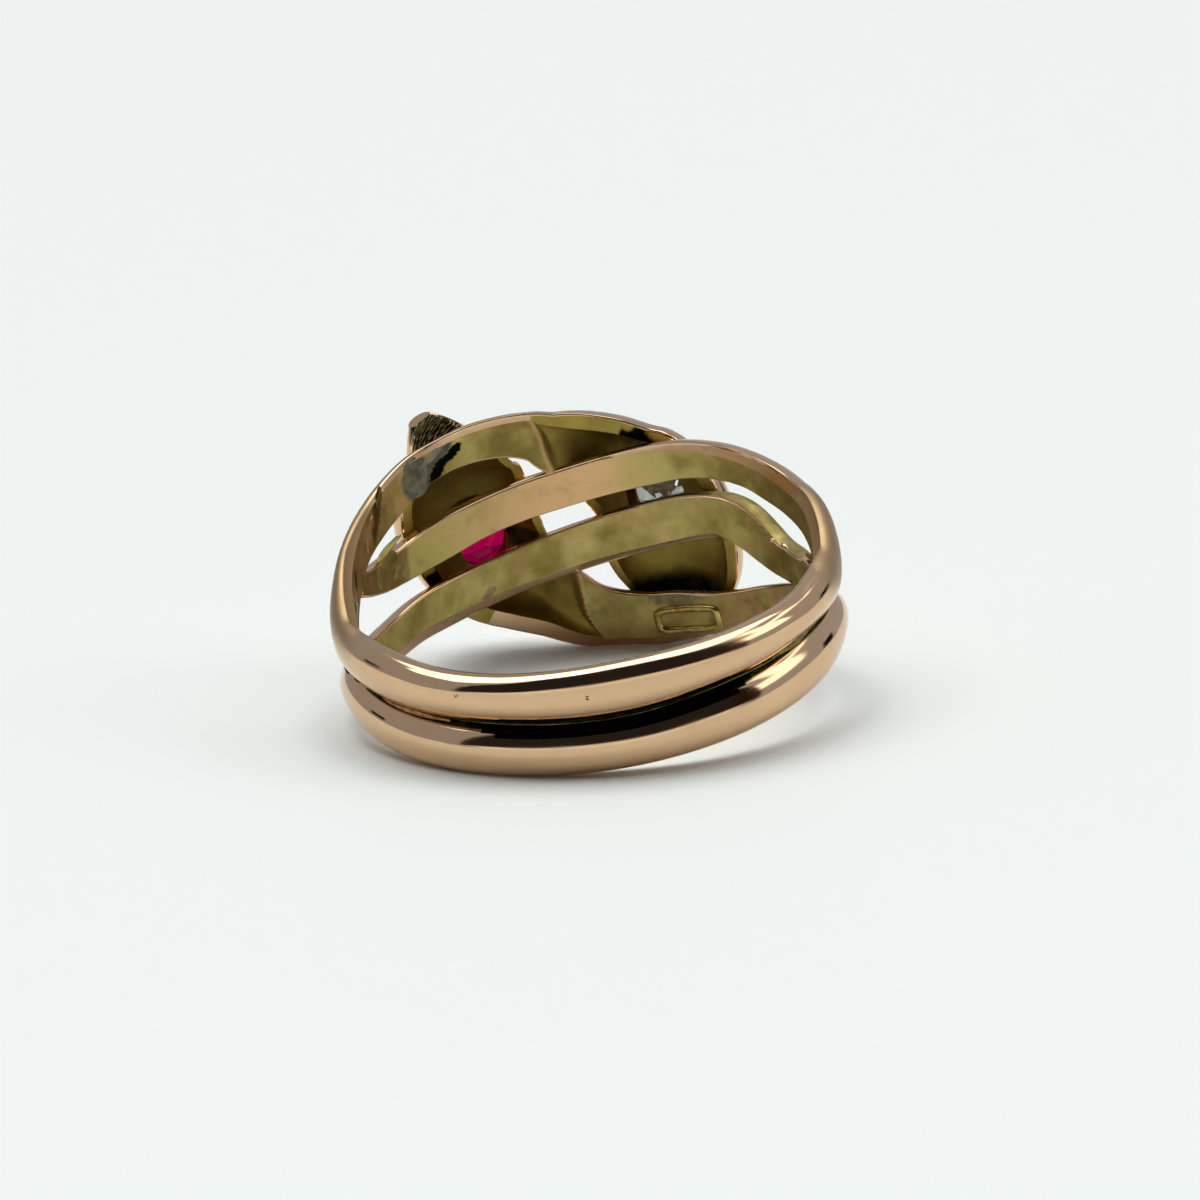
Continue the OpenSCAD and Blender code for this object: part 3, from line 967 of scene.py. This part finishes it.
def paintSnake(snake, strand, sections, layerRows):
    # the flow map holds millimetres along the strand and around it
    data = strand.data
    corners = [item.value for item in data.attributes["corner"].data]
    stations = [item.value for item in data.attributes["station"].data]
    for name in list(layerRows[0]) + ["hollow"]:
        data.attributes.new(name, "FLOAT", "POINT")
    count = len(sections[0])
    around = []
    along = [0.0]
    for number, points in enumerate(sections):
        total = [0.0]
        for k in range(count):
            total.append(total[-1] + (points[(k + 1) % count][0] - points[k][0]).length)
        around.append(total)
        if number > 0:
            along.append(along[-1] + (points[0][0] - sections[number - 1][0][0]).length)
    for name in layerRows[0]:
        spots = [spot for spot in snake["spots"] if spot[0] == name]
        for number, item in enumerate(data.attributes[name].data):
            flat = sections[stations[number]][corners[number]][1]
            item.value = layerRows[stations[number]][name] + sum(spotShare(spot, flat) for spot in spots)
    for number, item in enumerate(data.attributes["hollow"].data):
        item.value = sections[stations[number]][corners[number]][2]
    flow = data.uv_layers.new(name="flow")
    innerFirst = sweep["outerPoints"] + sweep["filletPoints"]
    innerLast = innerFirst + sweep["innerPoints"] - 1
    for face in data.polygons:
        used = [corners[v] for v in face.vertices]
        wraps = 0 in used and count - 1 in used
        for loop in face.loop_indices:
            vert = data.loops[loop].vertex_index
            place = count if wraps and corners[vert] == 0 else corners[vert]
            flow.data[loop].uv = (along[stations[vert]], around[stations[vert]][place])
        if len(used) > 4:
            continue
        low = min(used) if not wraps else count - 1
        inward = max(sections[stations[v]][corners[v]][2] for v in face.vertices)
        onInside = innerFirst <= low < innerLast
        onStrip = low in (innerFirst - 1, innerLast)
        first = stations[face.vertices[0]]
        square = layerRows[first]["square"]
        if onInside or (onStrip and inward > snake["stripEnds"][low == innerLast]):
            finish = "inside"
        elif onStrip:
            finish = "strip"
        elif low < finishSettings["squareFaces"] and square > finishSettings["squareFrom"]:
            finish = "file marked"
        else:
            finish = grooveFinish(snake, low, sections[first][0][1].x)
        face.material_index = finishNumber[finish]
    for name in ("corner", "station", "square"):
        data.attributes.remove(data.attributes[name])


# Seats and collars, and the stones in them. Sizes are in millimetres from the girdle.
stoneSettings = {
    "girdleOut": 2.7,  # above the bore
    "radius": 1.35,
    "pavilion": 1.1,
    "crown": 0.5,
    "table": 0.75,
    "girdle": 0.06,
    "holeRadius": 1.0,
    "collarRadius": 1.85,
    "collarDown": 0.6,
    "cutterSides": 48,
    "cutterDepth": 3.0,
    "collarSteps": 72,
    "throatReach": 0.02,  # mm past the stone, up to which a collar's faces are its throat
    "throat": 0.02,  # above this the throat is polished
    "skirt": -0.2,  # below this the outside of a collar is as dull as the head's inside
    "blockSides": 64,
    "mains": 8,
    "girdleFacets": 16,
    "girdleReach": 0.985,  # share of the radius at which the girdle facets end
    "steeperCrown": 7,  # degrees, of the girdle facets against the mains
    "flatterPavilion": 3,
    "collarWeld": 0.001,  # mm
    "facetWeld": 0.0005,
    "sharpAngle": 35,  # degrees, of the collar's edges
}
rubyPlace = {"name": "ruby", "angle": -20, "height": -0.8}
diamondPlace = {"name": "diamond", "angle": 18.5, "height": 0.1}


def cutSeat(strand, place):
    s = stoneSettings
    bpy.ops.object.select_all(action="DESELECT")
    bpy.ops.mesh.primitive_cylinder_add(
        vertices=s["cutterSides"], radius=s["holeRadius"], depth=s["cutterDepth"])
    cutter = bpy.context.object
    cutter.data.materials.append(hollowGold)
    applyPlace(cutter, facingOut(place["angle"], place["height"], s["girdleOut"]))
    applyModifier(strand, "BOOLEAN", operation="DIFFERENCE", object=cutter, solver="EXACT")
    bpy.data.objects.remove(cutter)


def makeCollar(place):
    # a turned ring, its top edge rubbed over the stone
    s = stoneSettings
    # (radius, height above the girdle)
    outline = [
        (s["holeRadius"], -s["collarDown"]),
        (s["collarRadius"], -s["collarDown"]),
        (s["collarRadius"], 0.12),
        (s["collarRadius"] - 0.06, 0.22),
        (s["collarRadius"] - 0.2, 0.28),
        (s["radius"] + 0.1, 0.27),
        (s["radius"] - 0.08, 0.2),
        (s["radius"] - 0.06, 0.15),
        (s["radius"] + 0.03, 0.09),
        (s["radius"] + 0.03, -0.08),
        (s["holeRadius"] + 0.02, -0.32),
    ]
    bpy.ops.object.select_all(action="DESELECT")
    bpy.ops.mesh.primitive_circle_add(vertices=len(outline), radius=1)
    collar = bpy.context.object
    collar.name = place["name"] + "_collar"
    for vert, (radius, height) in zip(collar.data.vertices, outline):
        vert.co = (radius, 0, height)
    bpy.ops.object.mode_set(mode="EDIT")
    bpy.ops.mesh.select_all(action="SELECT")
    bpy.ops.mesh.spin(steps=s["collarSteps"], angle=2 * math.pi, center=(0, 0, 0), axis=(0, 0, 1))
    bpy.ops.mesh.select_all(action="SELECT")
    bpy.ops.mesh.remove_doubles(threshold=s["collarWeld"])
    bpy.ops.mesh.normals_make_consistent(inside=False)
    bpy.ops.object.mode_set(mode="OBJECT")
    for material in (roseGold, hollowGold):
        collar.data.materials.append(material)
    for face in collar.data.polygons:
        narrow = math.hypot(face.center.x, face.center.y) < s["radius"] + s["throatReach"]
        # towards the middle of the front the head slopes away and leaves the collar bare
        bare = not narrow and face.center.x * place["angle"] < 0
        deep = face.center.z < (s["throat"] if narrow else s["skirt"]) and not bare
        face.material_index = 1 if deep else 0
    smoothShade(collar, s["sharpAngle"])
    applyPlace(collar, facingOut(place["angle"], place["height"], s["girdleOut"]))
    return collar


def makeStone(place, material):
    # a round block cut facet by facet, table and mains first, then the girdle facets
    s = stoneSettings
    bpy.ops.object.select_all(action="DESELECT")
    bpy.ops.mesh.primitive_cylinder_add(
        vertices=s["blockSides"], radius=s["radius"], depth=s["crown"] + s["pavilion"] + 1)
    stone = bpy.context.object
    stone.name = place["name"] + "_stone"
    bpy.ops.object.mode_set(mode="EDIT")

    def facet(turn, normalDegrees, through):
        bpy.ops.mesh.select_all(action="SELECT")
        a, b = math.radians(turn), math.radians(normalDegrees)
        normal = Vector((math.cos(a) * math.sin(b), math.sin(a) * math.sin(b), math.cos(b)))
        point = Vector((math.cos(a) * through[0], math.sin(a) * through[0], through[1]))
        bpy.ops.mesh.bisect(plane_co=point, plane_no=normal, use_fill=True, clear_outer=True)

    facet(0, 0, (0, s["crown"]))
    crownSlope = math.degrees(math.atan2(s["crown"] - s["girdle"], s["radius"] - s["table"]))
    pavilionSlope = math.degrees(math.atan2(s["pavilion"] - s["girdle"], s["radius"]))
    for i in range(s["mains"]):
        turn = 360 / s["mains"] * i
        facet(turn, crownSlope, (s["table"], s["crown"]))
        facet(turn, 180 - pavilionSlope, (0, -s["pavilion"]))
    reach = s["radius"] * s["girdleReach"]
    for i in range(s["girdleFacets"]):
        turn = 360 / s["girdleFacets"] * (i + 0.5)
        facet(turn, crownSlope + s["steeperCrown"], (reach, s["girdle"]))
        facet(turn, 180 - pavilionSlope - s["flatterPavilion"], (reach, -s["girdle"]))
    bpy.ops.mesh.select_all(action="SELECT")
    bpy.ops.mesh.remove_doubles(threshold=s["facetWeld"])
    bpy.ops.mesh.normals_make_consistent(inside=False)
    bpy.ops.object.mode_set(mode="OBJECT")
    stone.data.materials.append(material)
    applyPlace(stone, facingOut(place["angle"], place["height"], s["girdleOut"]))
    return stone


setSnakes = [(diamondSnake, diamondPlace, diamondGem), (rubySnake, rubyPlace, rubyGem)]
for snake, place, gem in setSnakes:
    strand = sweepSnake(snake)
    for finish, material in strandFinishes:
        strand.data.materials.append(material)
    cutSeat(strand, place)
    smoothShade(strand, sweep["sharpAngle"])
    finishPiece(strand, "rose_gold", "snake_band")
    finishPiece(makeCollar(place), "rose_gold", "snake_band")
    finishPiece(makeStone(place, gem), place["name"] + "_stone", place["name"])
    print(snake["name"], "swept and set with its stone")


# Solder in the groove between the wires, from shoulder to shoulder. The outline is
# (above the bore, along the finger): it leans against the lower wire and ends upright
# against the upper one. It is fullest at the right shoulder.
grooveSettings = {
    "from": 100,
    "fullTo": 128,
    "thinFrom": 150,
    "thin": 0.62,
    "steps": 120,
    "endReach": 0.01,  # degrees
    "sharpAngle": 60,
    "outline": [(0.41, -0.09), (0.39, -0.03), (0.39, 0.04), (0.42, 0.1),
                (0.3, 0.12), (0.12, 0.04), (0.12, -0.04), (0.3, -0.12)],
}


def makeGrooveSolder():
    s = grooveSettings
    bpy.ops.object.select_all(action="DESELECT")
    bpy.ops.mesh.primitive_circle_add(vertices=len(s["outline"]), radius=1)
    solder = bpy.context.object
    solder.name = "groove_solder"
    for vert, (out, height) in zip(solder.data.vertices, s["outline"]):
        vert.co = onRing(s["from"], height, out)
    bpy.ops.object.mode_set(mode="EDIT")
    bpy.ops.mesh.select_all(action="SELECT")
    bpy.ops.mesh.spin(steps=s["steps"], angle=math.radians(360 - 2 * s["from"]),
                      center=(0, 0, 0), axis=(0, 0, 1))
    bpy.ops.mesh.edge_face_add()
    mesh = bmesh.from_edit_mesh(solder.data)
    for vert in mesh.verts:
        angle = math.degrees(math.atan2(vert.co.x, vert.co.y)) % 360
        share = s["thin"] + (1 - s["thin"]) * ramp(s["thinFrom"], s["fullTo"], angle)
        radius = math.hypot(vert.co.x, vert.co.y)
        slimmer = (ring["boreRadius"] + (radius - ring["boreRadius"]) * share) / radius
        vert.co.x *= slimmer
        vert.co.y *= slimmer
        vert.co.z += backHeights(angle)[0]
        vert.select = abs(angle - s["from"]) < s["endReach"]
    mesh.select_flush(True)
    bpy.ops.mesh.edge_face_add()
    bpy.ops.mesh.select_all(action="SELECT")
    bpy.ops.mesh.normals_make_consistent(inside=False)
    bpy.ops.object.mode_set(mode="OBJECT")
    solder.data.materials.append(solders["green gold solder"])
    smoothShade(solder, s["sharpAngle"])
    return solder


finishPiece(makeGrooveSolder(), "rose_gold", "snake_band")
print("groove solder made")

# Lumps where solder ran and froze, small nicks filled with tarnish, and dark lumps
# that are painted shade in shaded gaps. A row is (name, angle, height, above the bore,
# length, width, depth, turn, solder), in millimetres and degrees.
lumpSettings = {
    "segments": 24,
    "rings": 14,
    "uneven": 0.3,  # share of the lump's size
    "unevenSize": 0.45,  # mm
    "sharpAngle": 80,  # degrees
    "rows": [
        ("tail_lump_left_1", -57, 1.35, 0.04, 1.5, 0.75, 0.13, -10, "yellow gold solder"),
        ("tail_lump_left_2", -54, 0.65, 0.04, 0.9, 0.6, 0.12, 40, "yellow gold solder"),
        ("tail_lump_left_3", -62, 0.9, 0.02, 0.7, 0.9, 0.13, 0, "yellow gold solder"),
        ("tail_lump_left_4", -56, 1.78, 0.1, 1.9, 0.18, 0.3, 12, "yellow gold solder"),
        ("shoulder_lump_1", -62, 3.3, 0.02, 0.7, 0.45, 0.14, 60, "reddish fired solder"),
        ("shoulder_lump_2", -57, 4, 0.02, 0.9, 0.35, 0.14, 60, "green gold solder"),
        ("shoulder_lump_3", -66, 2.6, 0.02, 0.6, 0.3, 0.12, 70, "reddish fired solder"),
        ("lead_patch_1", -42.5, 3.9, 0.02, 1.5, 1.6, 0.08, 30, "old lead solder"),
        ("lead_patch_2", -36, 4.4, 0, 1, 0.35, 0.06, 22, "old lead solder"),
        ("tail_lump_right_1", 57.5, -0.12, 0.05, 0.4, 0.22, 0.2, 10, "cream gold solder"),
        ("tail_lump_right_2", 63, -0.16, 0.08, 0.45, 0.2, 0.2, -20, "cream gold solder"),
        # painted shade: a dark lump in the gap between the strands' right ends
        ("tail_gap_shade_right", 76, 0, 0.32, 1.5, 0.3, 0.14, 8, "reddish fired solder"),
        ("shoulder_crumb", -85, 1.42, 0.02, 0.6, 0.5, 0.14, 60, "cream gold solder"),
        ("shoulder_stain", -79, 2.1, 0.01, 0.9, 0.24, 0.06, 70, "black tarnish and painted shade"),
        # painted shade: a dark lump in the gap where the wires part
        ("left_notch_shade", -101.5, 0.32, 0.7, 0.35, 0.75, 0.3, 0, "black tarnish and painted shade"),
        ("groove_end_left", -131, 0.02, 0.45, 3.6, 0.25, 0.2, 0, "reddish fired solder"),
        ("groove_end_right", 127, 0.27, 0.45, 2.6, 0.35, 0.2, 0, "green gold solder"),
        ("nick_1", -147.5, 1.36, 1, 0.16, 0.05, 0.03, 60, "black tarnish and painted shade"),
        ("nick_2", -177.1, 1.22, 1.06, 0.12, 0.06, 0.03, 30, "black tarnish and painted shade"),
    ],
}


def makeLump(row):
    s = lumpSettings
    name, angle, height, out, length, width, depth, turn, solder = row
    bpy.ops.object.select_all(action="DESELECT")
    bpy.ops.mesh.primitive_uv_sphere_add(segments=s["segments"], ring_count=s["rings"], radius=0.5)
    lump = bpy.context.object
    lump.name = name
    for vert in lump.data.vertices:
        place = vert.co
        grown = 1 + s["uneven"] * noise.noise(Vector((angle, height, 0)) + place * length / s["unevenSize"])
        along, across = place.x * length * grown, place.y * width * grown
        side, rise = turned(along, across, turn)
        radius = ring["boreRadius"] + out
        vert.co = onRing(angle + math.degrees(side / radius), height + rise, out + place.z * depth * grown)
    faceOutwards(lump)
    lump.data.materials.append(solders[solder])
    smoothShade(lump, s["sharpAngle"])
    return lump


for row in lumpSettings["rows"]:
    finishPiece(makeLump(row), "rose_gold", "snake_band")
print("solder lumps made")

# Raised rim of the plain oblong field in the bottom strand
oblongSettings = {
    "angle": 26.4,
    "height": -4.28,
    "halfLong": 1.3,  # mm
    "halfWide": 0.45,
    "turn": 6.5,  # degrees
    "squareness": 0.42,
    "rim": 0.16,
    "steps": 96,
    "rimSides": 10,
    "uneven": 0.03,  # mm
    "unevenSize": 0.4,
    "sharpAngle": 60,  # degrees
}


def makeOblong():
    s = oblongSettings
    bpy.ops.object.select_all(action="DESELECT")
    bpy.ops.mesh.primitive_torus_add(major_radius=1, minor_radius=s["rim"],
                                     major_segments=s["steps"], minor_segments=s["rimSides"])
    rim = bpy.context.object
    rim.name = "oblong_rim"
    for vert in rim.data.vertices:
        circle = Vector((vert.co.x, vert.co.y)).normalized()
        outwards = math.hypot(vert.co.x, vert.co.y) - 1
        along = math.copysign(abs(circle.x) ** s["squareness"], circle.x) * (s["halfLong"] + outwards)
        across = math.copysign(abs(circle.y) ** s["squareness"], circle.y) * (s["halfWide"] + outwards)
        side, rise = turned(along, across, s["turn"])
        uneven = s["uneven"] * noise.noise(Vector((side, rise, 0)) / s["unevenSize"])
        angle = s["angle"] + math.degrees(side / ring["boreRadius"])
        vert.co = onRing(angle, s["height"] + rise + uneven, vert.co.z + uneven)
    faceOutwards(rim)
    rim.data.materials.append(solders["bright yellow gold"])
    smoothShade(rim, s["sharpAngle"])
    return rim


finishPiece(makeOblong(), "rose_gold", "snake_band")
print("oblong rim made")

# Camera: the photo looks through the finger hole from the back
cameraSettings = {
    "elevation": 24.5,  # above the ring's own plane
    "roll": 8.5,
    "distance": 200.0,  # mm
    "aside": (0.4, 0.6),  # mm, right and up
    "focalPixels": 5360,
    "framePixels": 1200,
    "sensor": 36.0,
    "nearest": 0.005,  # metres
}


def makeCamera():
    s = cameraSettings
    tilt, roll = math.radians(s["elevation"]), math.radians(s["roll"])
    right = Vector((1, 0, 0))
    back = Vector((0, -math.cos(tilt), math.sin(tilt)))
    up = back.cross(right)
    turnedRight = math.cos(roll) * right - math.sin(roll) * up
    turnedUp = math.sin(roll) * right + math.cos(roll) * up
    spot = s["aside"][0] * turnedRight + s["aside"][1] * turnedUp + s["distance"] * back
    data = bpy.data.cameras.new("photo camera")
    data.sensor_width = s["sensor"]
    data.lens = s["focalPixels"] * s["sensor"] / s["framePixels"]
    data.clip_start = s["nearest"]
    camera = bpy.data.objects.new("photo camera", data)
    bpy.context.scene.collection.objects.link(camera)
    turn = lying.to_quaternion().to_matrix()
    facing = Matrix((turn @ turnedRight, turn @ turnedUp, turn @ back)).transposed().to_4x4()
    camera.matrix_world = Matrix.Translation(lying @ spot) @ facing
    bpy.context.scene.camera = camera


makeCamera()

# A pale board in a light box. The box is white inside, lit by a bright strip along the
# front of its ceiling, and its open front is dark, which the back wires mirror as a
# black band. A patch is (wall, across from, across to, up from, up to, soft edge,
# colour, strength). On the round wall across and up are the azimuth from the camera
# side towards the right and the elevation, in degrees. On the front wall and the
# ceiling they are distances for a wall one unit away, up being forwards on the ceiling.
studio = {
    "floorSize": 4.0,
    "floorColour": "#EEF1EE",
    "floorRoughness": 0.6,  # matt painted board
    "floorIor": 1.45,
    "box": ("#F4F7F6", 1.08),
    "patches": [
        ("round", -190, -58, -5, 60, 5, "#C8CCD6", 0.65),
        ("round", 62, 180, -5, 60, 5, "#C8CCD6", 0.75),
        ("ceiling", -0.62, 0.5, -0.65, 0.12, 0.05, "#FBFFFE", 3.3),
        ("ceiling", -0.9, -0.5, -0.34, 0.12, 0.05, "#FBFFFE", 3.3),
        ("round", 62, 99, 21, 37, 3, "#FFFAF8", 2.5),
        ("round", 81, 97, 36, 59, 3, "#FFFAF8", 2.5),
        ("round", 96, 131, 44, 50, 2, "#FFFAF8", 2.5),
        ("ceiling", -0.34, -0.14, -0.1, 0.04, 0.03, "#FFFFFF", 12.0),
        ("front", -2.1, 2.6, 0.2, 5.0, 0.07, "#2A282A", 1.0),
        ("front", 1.5, 2.6, 0.2, 2.0, 0.3, "#2B1B12", 1.0),
        ("round", 117, 128, 2, 11, 1, "#120807", 1.0),
        ("round", -116, -106, 5, 11, 1, "#120807", 1.0),
    ],
}


def makeFloor():
    bpy.ops.object.select_all(action="DESELECT")
    bpy.ops.mesh.primitive_plane_add(size=studio["floorSize"])
    floor = bpy.context.object
    floor.name = "floor"
    material, tree = newMaterial("matt white board")
    shader = addNode(tree, "ShaderNodeBsdfPrincipled",
                     {"Base Color": linear(studio["floorColour"]),
                      "Roughness": studio["floorRoughness"], "IOR": studio["floorIor"]})
    addNode(tree, "ShaderNodeOutputMaterial", {"Surface": shader.outputs["BSDF"]})
    floor.data.materials.append(material)


def between(tree, value, low, high, soft):
    rise = addNode(tree, "ShaderNodeMapRange",
                   {"Value": value, "From Min": low - soft, "From Max": low + soft},
                   interpolation_type="SMOOTHSTEP")
    fall = addNode(tree, "ShaderNodeMapRange",
                   {"Value": value, "From Min": high + soft, "From Max": high - soft},
                   interpolation_type="SMOOTHSTEP")
    band = addNode(tree, "ShaderNodeMath", {0: rise.outputs["Result"], 1: fall.outputs["Result"]},
                   operation="MULTIPLY")
    return band.outputs["Value"]


def makeTent():
    world = bpy.data.worlds.new("light tent")
    bpy.context.scene.world = world
    world.use_nodes = True
    tree = world.node_tree
    tree.nodes.clear()
    where = addNode(tree, "ShaderNodeTexCoord")
    split = addNode(tree, "ShaderNodeSeparateXYZ", {"Vector": where.outputs["Generated"]})
    towards = addNode(tree, "ShaderNodeMath", {0: split.outputs["Y"], 1: -1.0}, operation="MULTIPLY")
    turn = addNode(tree, "ShaderNodeMath", {0: split.outputs["X"], 1: towards.outputs["Value"]},
                   operation="ARCTAN2")
    azimuth = addNode(tree, "ShaderNodeMath", {0: turn.outputs["Value"]}, operation="DEGREES")
    rise = addNode(tree, "ShaderNodeMath", {0: split.outputs["Z"]}, operation="ARCSINE")
    elevation = addNode(tree, "ShaderNodeMath", {0: rise.outputs["Value"]}, operation="DEGREES")
    depth = {"front": towards.outputs["Value"], "ceiling": split.outputs["Z"]}
    rest = {"front": split.outputs["Z"], "ceiling": towards.outputs["Value"]}
    boxColour, boxStrength = studio["box"]
    colour = [v * boxStrength for v in linear(boxColour)]
    for wall, left, right, low, high, soft, patchColour, strength in studio["patches"]:
        if wall == "round":
            side = azimuth
            height = elevation
        else:
            side = addNode(tree, "ShaderNodeMath", {0: split.outputs["X"], 1: depth[wall]},
                           operation="DIVIDE")
            height = addNode(tree, "ShaderNodeMath", {0: rest[wall], 1: depth[wall]},
                             operation="DIVIDE")
        across = between(tree, side.outputs["Value"], left, right, soft)
        upward = between(tree, height.outputs["Value"], low, high, soft)
        mask = addNode(tree, "ShaderNodeMath", {0: across, 1: upward}, operation="MULTIPLY")
        if wall != "round":
            ahead = addNode(tree, "ShaderNodeMath", {0: depth[wall], 1: 0.0},
                            operation="GREATER_THAN")
            mask = addNode(tree, "ShaderNodeMath",
                           {0: mask.outputs["Value"], 1: ahead.outputs["Value"]},
                           operation="MULTIPLY")
        patch = [v * strength for v in linear(patchColour)]
        mix = addNode(tree, "ShaderNodeMix", {"Factor": mask.outputs["Value"], 6: colour, 7: patch},
                      data_type="RGBA")
        colour = mix.outputs[2]
    light = addNode(tree, "ShaderNodeBackground", {"Color": colour, "Strength": 1.0})
    addNode(tree, "ShaderNodeOutputWorld", {"Surface": light.outputs["Background"]})


makeFloor()
makeTent()
bpy.context.scene.view_settings.view_transform = "Standard"
print("stage lit")
